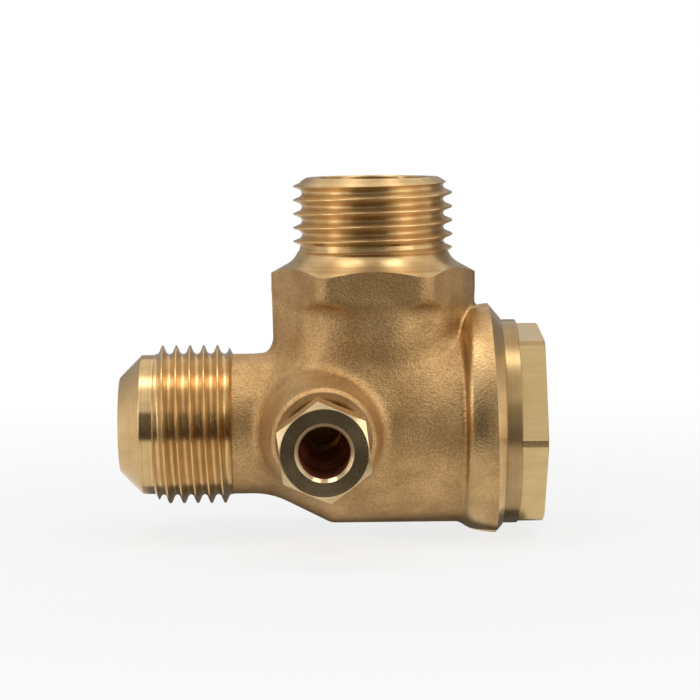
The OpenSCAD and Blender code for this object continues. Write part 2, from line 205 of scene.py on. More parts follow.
def add(tree, kind, inputs=None, **settings):
    """Adds a node. Its inputs take a value, or an output of another node to link."""
    node = tree.nodes.new(kind)
    for name, value in settings.items():
        setattr(node, name, value)
    for key, value in (inputs or {}).items():
        if isinstance(value, bpy.types.NodeSocket):
            tree.links.new(value, node.inputs[key])
        else:
            node.inputs[key].default_value = value
    return node


def per_metre(size_mm):
    """Texture size factor that gives a pattern of this size."""
    return 1 / (size_mm * MM)


def blank_material(name):
    """An empty material, its tree, its shader and its object coordinates."""
    material = bpy.data.materials.new(name)
    material.use_nodes = True
    tree = material.node_tree
    tree.nodes.clear()
    shader = add(tree, "ShaderNodeBsdfPrincipled")
    add(tree, "ShaderNodeOutputMaterial", {"Surface": shader.outputs[0]})
    place = add(tree, "ShaderNodeTexCoord").outputs["Object"]
    return material, tree, shader, place


def feed(tree, shader, **links):
    """Links outputs to the shader's sockets, named with _ for a blank."""
    for name, output in links.items():
        tree.links.new(output, shader.inputs[name.replace("_", " ").title()])


# Forged brass, shot blasted: a satin skin of tiny dents that scatters the light, browner in
# patches where the forging's oxide sat longest. The outlet's hexagon is painted darker, a painted
# shade that sets it off from the neck below, which faces the light more. The flange is burnished
# smoother, most of all along its edge, where it is also painted lighter: partly the colour of
# burnished metal, partly a painted highlight. The real dents are about half as wide as they are
# drawn.
def forged_brass():
    material, tree, shader, place = blank_material("forged_brass_blasted")
    patches = add(tree, "ShaderNodeTexNoise", {
        "Vector": place, "Scale": per_metre(5.0), "Detail": 5.0, "Roughness": 0.6})
    dents = add(tree, "ShaderNodeTexNoise", {
        "Vector": place, "Scale": per_metre(0.3), "Detail": 2.0, "Roughness": 0.5})
    tone = add(tree, "ShaderNodeValToRGB", {"Fac": patches.outputs["Fac"]})
    tone.color_ramp.elements[0].position = 0.39
    tone.color_ramp.elements[0].color = linear("#B69262")
    tone.color_ramp.elements[1].position = 0.63
    tone.color_ramp.elements[1].color = linear("#CEA976")
    speck = add(tree, "ShaderNodeValToRGB", {"Fac": dents.outputs["Fac"]})
    speck.color_ramp.elements[0].position = 0.34
    speck.color_ramp.elements[0].color = linear("#DCD6CC")
    speck.color_ramp.elements[1].position = 0.6
    speck.color_ramp.elements[1].color = linear("#FFFFFF")
    colour = add(tree, "ShaderNodeMix", {
        "Factor": 0.8, 6: tone.outputs["Color"], 7: speck.outputs["Color"]},
        data_type="RGBA", blend_type="MULTIPLY")
    side = add(tree, "ShaderNodeSeparateXYZ", {0: place})
    # Painted shade: above the plane of the hexagon's underside the colour is mixed towards a dark brown,
    # so the hexagon looks darker than the neck below it.
    level = add(tree, "ShaderNodeVectorMath", {0: place, 1: (1, 1, 0)}, operation="MULTIPLY")
    reach = add(tree, "ShaderNodeVectorMath", {0: level.outputs[0]}, operation="LENGTH")
    above = add(tree, "ShaderNodeMath", {
        0: reach.outputs["Value"], 1: -math.tan(HEX_UNDER), 2: side.outputs["Z"]},
        operation="MULTIPLY_ADD")
    hex_edge = HEX_FLOOR - OUTLET_RISE - HEX_R * math.tan(HEX_UNDER)
    hexagon_shade = add(tree, "ShaderNodeMapRange", {
        "Value": above.outputs[0], "From Min": (hex_edge - 0.3) * MM,
        "From Max": (hex_edge + 0.1) * MM, "To Min": 0.0, "To Max": 0.18})
    colour = add(tree, "ShaderNodeMix", {
        "Factor": hexagon_shade.outputs["Result"], 6: colour.outputs[2], 7: linear("#8A6C46")},
        data_type="RGBA")
    rub_and_sheen = 0.2
    edge = add(tree, "ShaderNodeMapRange", {
        "Value": side.outputs["X"], "From Min": (FLANGE_X - 0.5) * MM,
        "From Max": (FLANGE_X + 0.7) * MM, "To Min": 0.0, "To Max": rub_and_sheen})
    face = add(tree, "ShaderNodeMapRange", {
        "Value": side.outputs["X"], "From Min": (FLANGE_X + 2.2) * MM,
        "From Max": (FLANGE_X + 4) * MM, "To Min": 0.0, "To Max": 0.8 * rub_and_sheen})
    rubbed_and_sheen = add(tree, "ShaderNodeMath", {
        0: edge.outputs["Result"], 1: face.outputs["Result"]}, operation="SUBTRACT")
    # Partly wear, partly painted highlight: the flange's edge band is mixed towards a lighter brass, both
    # the colour of worn metal and a brighter highlight there.
    colour = add(tree, "ShaderNodeMix", {
        "Factor": rubbed_and_sheen.outputs[0], 6: colour.outputs[2], 7: linear("#DABD88")},
        data_type="RGBA")
    satin = add(tree, "ShaderNodeMapRange", {
        "Value": patches.outputs["Fac"], "From Min": 0.3, "From Max": 0.7,
        "To Min": 0.6, "To Max": 0.52})
    gloss = add(tree, "ShaderNodeMath", {
        0: satin.outputs["Result"], 1: rubbed_and_sheen.outputs[0]}, operation="SUBTRACT")
    worn = add(tree, "ShaderNodeMapRange", {
        "Value": rubbed_and_sheen.outputs[0], "From Max": rub_and_sheen, "To Min": 0.9, "To Max": 0.5})
    relief = add(tree, "ShaderNodeBump", {
        "Strength": worn.outputs["Result"], "Distance": 0.11 * MM, "Height": dents.outputs["Fac"]})
    shader.inputs["Metallic"].default_value = 1.0
    feed(tree, shader, base_color=colour.outputs[2], roughness=gloss.outputs[0],
         normal=relief.outputs["Normal"])
    return material


# Turned brass: a bright cut face with fine rings round its own axis, which draw each light out
# across them. The real rings are too fine to show, so they are drawn about three times as coarse.
def turned_brass(name, axis, centre, light, dark, rough, ring_mm=0.3, ring_depth=0.012):
    material, tree, shader, place = blank_material(name)
    middle = add(tree, "ShaderNodeMapping", {
        "Vector": place, "Location": [-c * MM for c in centre]})
    along = add(tree, "ShaderNodeVectorMath", {
        0: middle.outputs[0], 1: axis}, operation="DOT_PRODUCT")
    across = add(tree, "ShaderNodeVectorMath", {
        0: middle.outputs[0], 1: [1 - a for a in axis]}, operation="MULTIPLY")
    radius = add(tree, "ShaderNodeVectorMath", {0: across.outputs[0]}, operation="LENGTH")
    groove = add(tree, "ShaderNodeVectorMath", {
        0: axis, 1: middle.outputs[0]}, operation="CROSS_PRODUCT")
    tool_path = add(tree, "ShaderNodeMath", {
        0: along.outputs["Value"], 1: radius.outputs["Value"]}, operation="ADD")
    rings = add(tree, "ShaderNodeTexNoise", {
        "W": tool_path.outputs[0], "Scale": per_metre(ring_mm), "Detail": 2.0,
        "Roughness": 0.7}, noise_dimensions="1D")
    haze = add(tree, "ShaderNodeTexNoise", {
        "Vector": place, "Scale": per_metre(2.5), "Detail": 4.0, "Roughness": 0.6})
    share = add(tree, "ShaderNodeMath", {
        0: rings.outputs["Fac"], 1: haze.outputs["Fac"]}, operation="ADD")
    tone = add(tree, "ShaderNodeMapRange", {
        "Value": share.outputs[0], "From Min": 0.75, "From Max": 1.25})
    colour = add(tree, "ShaderNodeMix", {
        "Factor": tone.outputs["Result"], 6: linear(dark), 7: linear(light)}, data_type="RGBA")
    gloss = add(tree, "ShaderNodeMapRange", {
        "Value": haze.outputs["Fac"], "From Min": 0.3, "From Max": 0.7,
        "To Min": rough * 1.12, "To Max": rough * 0.9})
    relief = add(tree, "ShaderNodeBump", {
        "Strength": 0.6, "Distance": ring_depth * MM, "Height": rings.outputs["Fac"]})
    shader.inputs["Metallic"].default_value = 1.0
    shader.inputs["Anisotropic"].default_value = 0.85
    shader.inputs["Anisotropic Rotation"].default_value = 0.25
    feed(tree, shader, base_color=colour.outputs[2], roughness=gloss.outputs["Result"],
         normal=relief.outputs["Normal"], tangent=groove.outputs[0])
    return material


# Drawn brass bar: plain satin flats with long faint streaks the way the bar was drawn.
def drawn_brass(name, axis, light, dark, rough):
    material, tree, shader, place = blank_material(name)
    stretched = add(tree, "ShaderNodeMapping", {
        "Vector": place, "Scale": [1 - 0.95 * a for a in axis]})
    streaks = add(tree, "ShaderNodeTexNoise", {
        "Vector": stretched.outputs[0], "Scale": per_metre(0.35), "Detail": 3.0})
    haze = add(tree, "ShaderNodeTexNoise", {
        "Vector": place, "Scale": per_metre(2.0), "Detail": 4.0, "Roughness": 0.6})
    share = add(tree, "ShaderNodeMath", {
        0: streaks.outputs["Fac"], 1: haze.outputs["Fac"]}, operation="ADD")
    tone = add(tree, "ShaderNodeMapRange", {
        "Value": share.outputs[0], "From Min": 0.7, "From Max": 1.3})
    colour = add(tree, "ShaderNodeMix", {
        "Factor": tone.outputs["Result"], 6: linear(dark), 7: linear(light)}, data_type="RGBA")
    gloss = add(tree, "ShaderNodeMapRange", {
        "Value": haze.outputs["Fac"], "From Min": 0.3, "From Max": 0.7,
        "To Min": rough * 1.15, "To Max": rough * 0.85})
    relief = add(tree, "ShaderNodeBump", {
        "Strength": 0.5, "Distance": 0.006 * MM, "Height": streaks.outputs["Fac"]})
    shader.inputs["Metallic"].default_value = 1.0
    feed(tree, shader, base_color=colour.outputs[2], roughness=gloss.outputs["Result"],
         normal=relief.outputs["Normal"])
    return material


# Drawn stainless steel: grey and bright, with faint streaks along the drawing direction.
def drawn_steel():
    material, tree, shader, place = blank_material("stainless_steel_drawn")
    streaks = add(tree, "ShaderNodeTexNoise", {
        "Vector": place, "Scale": per_metre(0.5), "Detail": 3.0})
    colour = add(tree, "ShaderNodeMix", {
        "Factor": streaks.outputs["Fac"], 6: linear("#A6A8AA"), 7: linear("#C9CBCD")},
        data_type="RGBA")
    gloss = add(tree, "ShaderNodeMapRange", {
        "Value": streaks.outputs["Fac"], "To Min": 0.2, "To Max": 0.36})
    shader.inputs["Metallic"].default_value = 1.0
    feed(tree, shader, base_color=colour.outputs[2], roughness=gloss.outputs["Result"])
    return material


# Moulded nitrile rubber: matt black with a faint bloom and a fine moulded grain.
def nitrile_rubber():
    material, tree, shader, place = blank_material("nitrile_rubber_moulded")
    grain = add(tree, "ShaderNodeTexNoise", {
        "Vector": place, "Scale": per_metre(0.3), "Detail": 3.0})
    colour = add(tree, "ShaderNodeMix", {
        "Factor": grain.outputs["Fac"], 6: linear("#1C1C1E"), 7: linear("#2C2C2E")},
        data_type="RGBA")
    relief = add(tree, "ShaderNodeBump", {
        "Strength": 0.4, "Distance": 0.02 * MM, "Height": grain.outputs["Fac"]})
    shader.inputs["Roughness"].default_value = 0.62
    shader.inputs["IOR"].default_value = 1.52
    feed(tree, shader, base_color=colour.outputs[2], normal=relief.outputs["Normal"])
    return material


BARREL_CENTRE = (0, 0, -OUTLET_RISE)
PORT_CENTRE = (PORT_X, 0, -OUTLET_RISE)
FORGED = forged_brass()
TURNED_BARREL = turned_brass(
    "turned_brass_round_barrel", (1, 0, 0), BARREL_CENTRE, "#DCBB88", "#C8A570", 0.26,
    ring_depth=0.006)
THREADED_INLET = turned_brass(
    "cut_thread_brass_inlet", (1, 0, 0), BARREL_CENTRE, "#E0BF8A", "#C8A470", 0.3)
TURNED_OUTLET = turned_brass(
    "turned_brass_round_outlet", (0, 0, 1), (0, 0, 0), "#DCBB88", "#C29E6A", 0.35)
THREADED_OUTLET = turned_brass(
    "cut_thread_brass_outlet", (0, 0, 1), (0, 0, 0), "#E0BE88", "#C8A26C", 0.38)
TURNED_PORT = turned_brass(
    "turned_brass_round_port", (0, 1, 0), PORT_CENTRE, "#DDB987", "#C29C6A", 0.5)
TURNED_CAP = turned_brass(
    "turned_brass_cap", (1, 0, 0), BARREL_CENTRE, "#B5976B", "#A4875A", 0.38)
TURNED_NIPPLE = turned_brass(
    "turned_brass_nipple", (0, 1, 0), PORT_CENTRE, "#DCC398", "#C6A97C", 0.26)
# Painted shade: the near wall of the nipple's bore is painted a darker, redder brass, as light
# meets the wall of a narrow bore several times and looks redder there.
BORE_SHADE_NIPPLE = turned_brass(
    "painted_bore_shade_nipple", (0, 1, 0), PORT_CENTRE, "#A8664A", "#844A32", 0.42)
# Painted light: the deep passage behind it is painted a much lighter brass, so it looks lit where little
# light reaches.
BORE_LIGHT_PASSAGE = turned_brass(
    "painted_bore_light_passage", (0, 1, 0), PORT_CENTRE, "#F0B488", "#D89468", 0.5)
CAP_FLATS = drawn_brass("drawn_brass_bar_cap", (1, 0, 0), "#D6B985", "#CAAC78", 0.33)
NIPPLE_FLATS = drawn_brass(
    "drawn_brass_bar_nipple", (0, 1, 0), "#B4986C", "#9E8258", 0.18)
STEEL = drawn_steel()
RUBBER = nitrile_rubber()


# Mesh tools

def mesh_from(points, faces):
    """A mesh from points and faces. Each face lists its corners anticlockwise, seen from outside."""
    mesh = bpy.data.meshes.new("work")
    mesh.from_pydata(np.asarray(points, float).tolist(), [], [list(map(int, f)) for f in faces])
    mesh.update()
    return mesh


def evaluated(thing):
    """A plain mesh of an object with its modifiers applied. The object goes."""
    bpy.context.view_layer.update()
    graph = bpy.context.evaluated_depsgraph_get()
    mesh = bpy.data.meshes.new_from_object(thing.evaluated_get(graph), depsgraph=graph)
    used = thing.data
    bpy.data.objects.remove(thing)
    bpy.data.meshes.remove(used)
    return mesh


def on_bench(mesh, name="work"):
    """Puts a mesh in the scene for a moment, so that modifiers can work on it."""
    thing = bpy.data.objects.new(name, mesh)
    bpy.context.scene.collection.objects.link(thing)
    return thing


def combine(base, other, how):
    """Joins (UNION), cuts (DIFFERENCE) or trims (INTERSECT) a closed mesh with another."""
    tool = on_bench(other, "tool")
    thing = on_bench(base)
    modifier = thing.modifiers.new("combine", "BOOLEAN")
    modifier.operation = how
    modifier.solver = "MANIFOLD"
    modifier.object = tool
    result = evaluated(thing)
    bpy.data.objects.remove(tool)
    bpy.data.meshes.remove(other)
    return result


def rounded_path(corners, steps=4):
    """Points of a path whose corners, given as (radius, place, rounding), are rounded off."""
    path = []
    count = len(corners)
    for i, (r, z, rounding) in enumerate(corners):
        here = np.array((r, z), float)
        if not rounding:
            path.append(here)
            continue
        before = np.array(corners[i - 1][:2], float) - here
        after = np.array(corners[(i + 1) % count][:2], float) - here
        u, v = before / np.linalg.norm(before), after / np.linalg.norm(after)
        half = math.acos(np.clip(u @ v, -1, 1)) / 2
        middle = here + (u + v) / np.linalg.norm(u + v) * rounding / math.sin(half)
        start, stop = here + u * rounding / math.tan(half), here + v * rounding / math.tan(half)
        first = math.atan2(*(start - middle)[::-1])
        turn = (math.atan2(*(stop - middle)[::-1]) - first + math.pi) % (2 * math.pi) - math.pi
        for k in range(steps + 1):
            a = first + turn * k / steps
            path.append(middle + rounding * np.array((math.cos(a), math.sin(a))))
    return np.array(path)


def lathe(corners, place, sides=SIDES, steps=4):
    """A solid turned round Z from (radius, place, rounding) corners, then put in its place.
    The path starts and ends on the axis."""
    path = rounded_path(corners, steps)
    angles = np.arange(sides) * 2 * math.pi / sides
    points, rings = [], []
    for r, z in path:
        if r < 1e-6:
            rings.append([len(points)])
            points.append((0, 0, z))
        else:
            rings.append(list(range(len(points), len(points) + sides)))
            points += [(r * math.cos(a), r * math.sin(a), z) for a in angles]
    faces = []
    for low, high in zip(rings, rings[1:]):
        for i in range(sides):
            j = (i + 1) % sides
            if len(low) == 1 and len(high) == 1:
                continue
            if len(low) == 1:
                faces.append((low[0], high[j], high[i]))
            elif len(high) == 1:
                faces.append((low[i], low[j], high[0]))
            else:
                faces.append((low[i], low[j], high[j], high[i]))
    mesh = mesh_from(points, faces)
    mesh.transform(place)
    return mesh


def hex_bar(flat, low, high, clock, place):
    """A hexagonal bar with a corner at the clock angle."""
    reach = flat / math.cos(math.radians(30))
    ring = [(reach * math.cos(clock + k * math.pi / 3), reach * math.sin(clock + k * math.pi / 3))
            for k in range(6)]
    points = [(x, y, low) for x, y in ring] + [(x, y, high) for x, y in ring]
    faces = [(5, 4, 3, 2, 1, 0), (6, 7, 8, 9, 10, 11)]
    faces += [(k, (k + 1) % 6, (k + 1) % 6 + 6, k + 6) for k in range(6)]
    mesh = mesh_from(points, faces)
    mesh.transform(place)
    return mesh


# Helical threads and the spring, both wound by Geometry Nodes

def winding_tree(name, thread):
    """A node tree that winds a thread ridge, or a round wire, up the Z axis."""
    tree = bpy.data.node_groups.new(name, "GeometryNodeTree")
    sizes = ["Radius", "Turns", "Height", "Depth", "Root Width", "Crest Width", "Crest Round"]
    for size in sizes:
        tree.interface.new_socket(name=size, in_out="INPUT", socket_type="NodeSocketFloat")
    tree.interface.new_socket(name="Metal", in_out="INPUT", socket_type="NodeSocketMaterial")
    tree.interface.new_socket(name="Mesh", in_out="OUTPUT", socket_type="NodeSocketGeometry")
    given = add(tree, "NodeGroupInput").outputs
    spiral = add(tree, "GeometryNodeCurveSpiral", {
        "Resolution": 96 if thread else 48, "Rotations": given["Turns"],
        "Start Radius": given["Radius"], "End Radius": given["Radius"],
        "Height": given["Height"], "Reverse": True})
    upright = add(tree, "GeometryNodeSetCurveNormal", {"Curve": spiral.outputs[0]}, mode="Z_UP")
    if thread:
        tooth = add(tree, "GeometryNodeCurvePrimitiveQuadrilateral", {
            "Height": given["Depth"], "Bottom Width": given["Root Width"],
            "Top Width": given["Crest Width"], "Offset": 0.0}, mode="TRAPEZOID")
        turned = add(tree, "GeometryNodeTransform", {
            "Geometry": tooth.outputs[0], "Rotation": (0, 0, math.radians(-90))})
        section = add(tree, "GeometryNodeFilletCurve", {
            "Curve": turned.outputs[0], "Count": 4, "Radius": given["Crest Round"]}, mode="POLY")
    else:
        section = add(tree, "GeometryNodeCurvePrimitiveCircle", {
            "Resolution": 20, "Radius": given["Depth"]})
    swept = add(tree, "GeometryNodeCurveToMesh", {
        "Curve": upright.outputs[0], "Profile Curve": section.outputs[0], "Fill Caps": True})
    real = add(tree, "GeometryNodeRealizeInstances", {"Geometry": swept.outputs[0]})
    metal = add(tree, "GeometryNodeSetMaterial", {
        "Geometry": real.outputs[0], "Material": given["Metal"]})
    add(tree, "NodeGroupOutput", {"Mesh": metal.outputs[0]})
    return tree


def wound(tree, sizes, place):
    """The mesh that a winding tree makes from these named sizes, put in its place."""
    thing = on_bench(bpy.data.meshes.new("blank"))
    modifier = thing.modifiers.new("winding", "NODES")
    modifier.node_group = tree
    for item in tree.interface.items_tree:
        if item.in_out == "INPUT":
            modifier[item.identifier] = sizes[item.name]
    mesh = evaluated(thing)
    mesh.transform(place)
    return mesh


THREAD_TREE = winding_tree("helical_thread", True)
SPRING_TREE = winding_tree("wound_wire", False)
SUNK = 0.35      # how far a thread ridge reaches under its root, so that the two join
HOLLOW_SUNK = 0.04
CREST_ROUND = 0.05   # rounding of the crest, as a share of the pitch
THREAD_FLANK = math.tan(math.radians(23))
HOLLOW = 0.126   # how far the hollow at the foot of a thread reaches, as a share of the pitch


def threaded_rod(radius, pitch, depth, crest, low, high, clock, place, metal):
    """A rod with a right-hand thread between two places on Z, a turn longer at each end."""
    turns = (high - low) / pitch + 2
    start = place @ Matrix.Translation((0, 0, low - pitch)) @ Matrix.Rotation(clock, 4, "Z")
    root = radius - depth
    rod = lathe([(0, low - 2 * pitch, 0), (root, low - 2 * pitch, 0),
                 (root, high + 2 * pitch, 0), (0, high + 2 * pitch, 0)], place)
    blend = HOLLOW * pitch
    foot = crest + 2 * depth * THREAD_FLANK
    shelf = foot - 2 * blend * THREAD_FLANK - 0.01
    for rise, sunk, top, slope, rounding in (
            (depth, SUNK, crest, THREAD_FLANK, CREST_ROUND * pitch),
            (blend, HOLLOW_SUNK, shelf, (foot - shelf) / 2 / blend + 1, 0)):
        tall = rise + sunk
        ridge = wound(THREAD_TREE, {
            "Radius": root + rise - tall / 2, "Turns": turns, "Height": turns * pitch,
            "Depth": tall, "Root Width": top + 2 * tall * slope, "Crest Width": top,
            "Crest Round": rounding, "Metal": metal}, start)
        rod = combine(rod, ridge, "UNION")
    return rod


# The forging, drawn as distances to its skin and meshed on a fine grid. It is a little longer
# at both ends than what is kept of it.
GRID = 0.3
GRID_REACH = ((-19.0, 18.3), (-20.5, 17.3), (-16.8, 24.8))
BLANK_FROM = -18.85
BLANK_TO = 17.9


def round_join(a, b, radius):
    """Joins two forms with a hollow fillet of this radius."""
    inner = np.hypot(np.maximum(radius - a, 0), np.maximum(radius - b, 0))
    return np.maximum(radius, np.minimum(a, b)) - inner


def round_trim(a, b, radius):
    """Keeps what two forms share and rounds the edge between them."""
    return -round_join(-a, -b, radius)


OUTLINE_FROM = -24
OUTLINE_TO = 22
BARREL_OUTLINE = rounded_path([
    (0, OUTLINE_FROM, 0),
    (INLET_NECK_R, OUTLINE_FROM, 0),
    (INLET_NECK_R, CONE_FOOT_X, 10),
    (BARREL_R, CONE_TOP_X, 2.5),
    (BARREL_R, OUTLINE_TO, 0),
    (0, OUTLINE_TO, 0),
], steps=16)
TABLE_STEP = 0.05   # of the table of distances to the outline, which is a little larger
TABLE_FROM = OUTLINE_FROM - 1


def outline_distances():
    """Table of signed distances to the barrel's outline, by place and radius."""
    places = np.arange(TABLE_FROM, OUTLINE_TO + 1, TABLE_STEP)
    radii = np.arange(0, 30, TABLE_STEP)
    x, r = np.meshgrid(places, radii, indexing="ij")
    nearest = np.full(x.shape, 1e9)
    inside = np.zeros(x.shape, bool)
    path = np.vstack([BARREL_OUTLINE, BARREL_OUTLINE[:1]])
    for (r0, x0), (r1, x1) in zip(path, path[1:]):
        span = np.array((x1 - x0, r1 - r0))
        if not (span @ span) or (r0 == 0 and r1 == 0):
            continue
        t = np.clip(((x - x0) * span[0] + (r - r0) * span[1]) / (span @ span), 0, 1)
        nearest = np.minimum(nearest, np.hypot(x - x0 - t * span[0], r - r0 - t * span[1]))
        if x0 != x1:
            under = (np.minimum(x0, x1) <= x) & (x < np.maximum(x0, x1))
            inside ^= under & (r < r0 + (x - x0) / (x1 - x0) * (r1 - r0))
    return np.where(inside, -nearest, nearest)


OUTLINE = outline_distances()


def barrel_skin(x, y, z):
    """Distance to the barrel and the cone that leads to it."""
    u = (x - TABLE_FROM) / TABLE_STEP
    v = np.hypot(y, z) / TABLE_STEP
    i = np.clip(u.astype(int), 0, OUTLINE.shape[0] - 2)
    j = np.clip(v.astype(int), 0, OUTLINE.shape[1] - 2)
    s, t = u - i, v - j
    return ((OUTLINE[i, j] * (1 - s) + OUTLINE[i + 1, j] * s) * (1 - t)
            + (OUTLINE[i, j + 1] * (1 - s) + OUTLINE[i + 1, j + 1] * s) * t)


def flange_skin(x, y, z):
    """Distance to the end flange. It was forged a little above the turned axis, and its
    shoulder is steep, except underneath, where it leans with the draft of the lower die."""
    reach = np.hypot(y, z - FLANGE_LIFT)
    up = (z - FLANGE_LIFT) / np.maximum(reach, 1)
    low, high = np.clip(-up, 0, 1) ** 2, np.clip(up, 0, 1) ** 2
    lean = SHOULDER_LEAN + SHOULDER_LEAN_BELOW * low + SHOULDER_LEAN_ABOVE * high
    foot = FLANGE_X + SHOULDER_SHIFT - SHOULDER_SHIFT_BELOW * low
    shoulder = (foot + lean * (reach - BARREL_R) - x) / np.sqrt(1 + lean ** 2)
    swell = SWELL * np.maximum(BODY_END - SWELL_FROM - x, 0) ** 2
    side = reach - FLANGE_R + FLANGE_DRAFT * (BODY_END - x) + swell
    return round_trim(shoulder, side, 0.5)


def neck_skin(x, y, z):
    """Distance to the drafted neck. The hexagon's side flats run down it, and its front and
    back are rounded off."""
    draft = np.maximum(HEX_FLOOR - z, 0) * math.tan(NECK_DRAFT) + 0.05
    tilt = math.radians(60)
    sides = np.abs(x) * math.sin(tilt) + np.abs(y) * math.cos(tilt) - HEX_FLAT + draft
    faces = round_trim(sides, np.abs(y) - NECK_DEPTH / 2, NECK_ROUND)
    section = round_trim(faces, np.hypot(x, y) - HEX_R + draft, 0.3)
    return np.maximum(section, np.abs(z - NECK_MIDDLE) - NECK_MIDDLE)


def hexagon_skin(x, y, z):
    """Distance to the forged hexagon, whose underside slopes back to the neck."""
    flats = np.max([np.abs(x * math.sin(a) + y * math.cos(a))
                    for a in np.radians((0, 60, 120))], axis=0) - HEX_FLAT
    reach = np.hypot(x, y)
    sides = round_trim(flats, reach - HEX_R, 0.3)
    under = (HEX_FLOOR - z) * math.cos(HEX_UNDER) - (HEX_R - reach) * math.sin(HEX_UNDER)
    return np.maximum(round_trim(sides, under, 0.5), z - HEX_TOP - HEX_SPARE)


def boss_skin(x, y, z):
    """Distance to the drafted boss of the unloader port."""
    out = -y
    side = np.hypot(x - PORT_X, z) - BOSS_R - (BOSS_FACE - out) * math.tan(BOSS_DRAFT)
    return np.maximum(np.maximum(side * math.cos(BOSS_DRAFT), out - BOSS_FACE - BOSS_SPARE), 5 - out)


# Fillets where the forms of the forging meet
FLANGE_FILLET = 0.4
NECK_FILLET = (1.8, 0.7)   # over the barrel and beside the flange
HEX_FILLET = 0.65          # in front and behind; the sides run straight into the neck
BOSS_FILLET = 1.3


def forging_skin(x, y, z):
    """Signed distance to the forged skin, in millimetres, below zero inside."""
    whole = round_join(barrel_skin(x, y, z), flange_skin(x, y, z), FLANGE_FILLET)
    whole = round_join(whole, neck_skin(x, y, z), np.interp(x, (7, 12), NECK_FILLET))
    front = np.interp(np.abs(y), (5, 9), (0, 1)) * np.interp(z, (HEX_FLOOR, HEX_FLOOR + 1), (1, 0))
    whole = round_join(whole, hexagon_skin(x, y, z), 0.05 + HEX_FILLET * front)
    return round_join(whole, boss_skin(x, y, z), BOSS_FILLET)


def to_skin(points):
    """Moves points along the slope of the distance, onto the skin."""
    x, y, z = points.T
    h = 0.02
    slope = np.stack([
        forging_skin(x + h, y, z) - forging_skin(x - h, y, z),
        forging_skin(x, y + h, z) - forging_skin(x, y - h, z),
        forging_skin(x, y, z + h) - forging_skin(x, y, z - h)], axis=1) / (2 * h)
    length = np.maximum((slope ** 2).sum(1), 0.25)
    move = np.clip(forging_skin(x, y, z) / length, -0.2, 0.2)
    return points - move[:, None] * slope


def forging_blank():
    """The forged blank: a point on the skin in every grid cell that it crosses, joined by quads.
    The grid is twice as fine along the flange's shoulder."""
    foot, crest = FLANGE_X - 1.5, FLANGE_X + 2.1
    (x_low, x_high), (y_low, y_high), (z_low, z_high) = GRID_REACH
    axes = [np.concatenate([np.arange(x_low, foot, GRID), np.arange(foot, crest, GRID / 2),
                            np.arange(crest, x_high, GRID)]),
            np.arange(y_low, y_high, GRID), np.arange(z_low, z_high, GRID)]
    x, y, z = np.meshgrid(*axes, indexing="ij")
    ends = np.maximum(BLANK_FROM - x, x - BLANK_TO)
    depth = np.maximum(forging_skin(x, y, z), ends)
    shape = np.array(depth.shape) - 1
    total, hits = np.zeros((*shape, 3)), np.zeros(shape)
    cut = lambda a, i, j, k: a[i:i + shape[0], j:j + shape[1], k:k + shape[2]]
    corners = [(i, j, k) for i in (0, 1) for j in (0, 1) for k in (0, 1)]
    for a in corners:
        for axis in range(3):
            if a[axis]:
                continue
            b = tuple(c + (n == axis) for n, c in enumerate(a))
            da, db = cut(depth, *a), cut(depth, *b)
            crossed = (da < 0) != (db < 0)
            share = np.where(crossed, da / np.where(crossed, da - db, 1), 0)
            hits += crossed
            for n in range(3):
                total[..., n] += crossed * (a[n] + (share if n == axis else 0))
    used = hits > 0
    number = np.full(shape, -1)
    number[used] = np.arange(used.sum())
    cell = np.argwhere(used)
    place = cell + total[used] / hits[used][:, None]
    points = np.stack([np.interp(place[:, n], np.arange(len(axes[n])), axes[n])
                       for n in range(3)], axis=1)
    faces = []
    for axis in range(3):
        b, c = (axis + 1) % 3, (axis + 2) % 3
        one = np.moveaxis(depth, (axis, b, c), (0, 1, 2)) < 0
        cells = np.moveaxis(number, (axis, b, c), (0, 1, 2))
        crossed = one[:-1] != one[1:]
        i, j, k = np.nonzero(crossed[:, 1:-1, 1:-1])
        quad = np.stack([cells[i, j, k], cells[i, j + 1, k], cells[i, j + 1, k + 1],
                         cells[i, j, k + 1]], axis=1)
        leaving = one[:-1][:, 1:-1, 1:-1][i, j, k]
        faces.append(np.where(leaving[:, None], quad, quad[:, ::-1]))
    free = (points[:, 0] > BLANK_FROM + 0.25) & (points[:, 0] < BLANK_TO - 0.3)
    for _ in range(3):
        points[free] = to_skin(points[free])
    return mesh_from(points, np.vstack(faces))


def inlet_end():
    """The turned inlet: flare nose, thread and the step behind it."""
    rod = threaded_rod(THREAD_R, THREAD_PITCH, THREAD_DEPTH, THREAD_CREST,
                       INLET_THREAD_X, INLET_THREAD_END, INLET_CLOCK, ALONG_BARREL, TURNED_BARREL)
    limit = lathe([(0, INLET_THREAD_X - 0.3, 0), (NOSE_R - 0.5, INLET_THREAD_X - 0.3, 0),
                   (THREAD_R, INLET_LEAD_X, 0.1), (THREAD_R, INLET_THREAD_END, 0.1),
                   (INLET_NECK_R - 0.1, INLET_THREAD_END + INLET_RUN_OUT, 0),
                   (0, INLET_THREAD_END + INLET_RUN_OUT, 0)], ALONG_BARREL)
    rod = combine(rod, limit, "INTERSECT")
    core = lathe([(0, NOSE_X, 0), (FLARE_R, NOSE_X, 0.15), (NOSE_R, NOSE_X + NOSE_R - FLARE_R, 0.3),
                  (NOSE_R, INLET_THREAD_END, 0), (NOSE_R - 0.4, INLET_THREAD_END + 0.4, 0),
                  (NOSE_R - 0.4, INLET_CORE_X, 0), (0, INLET_CORE_X, 0)], ALONG_BARREL)
    return combine(core, rod, "UNION")


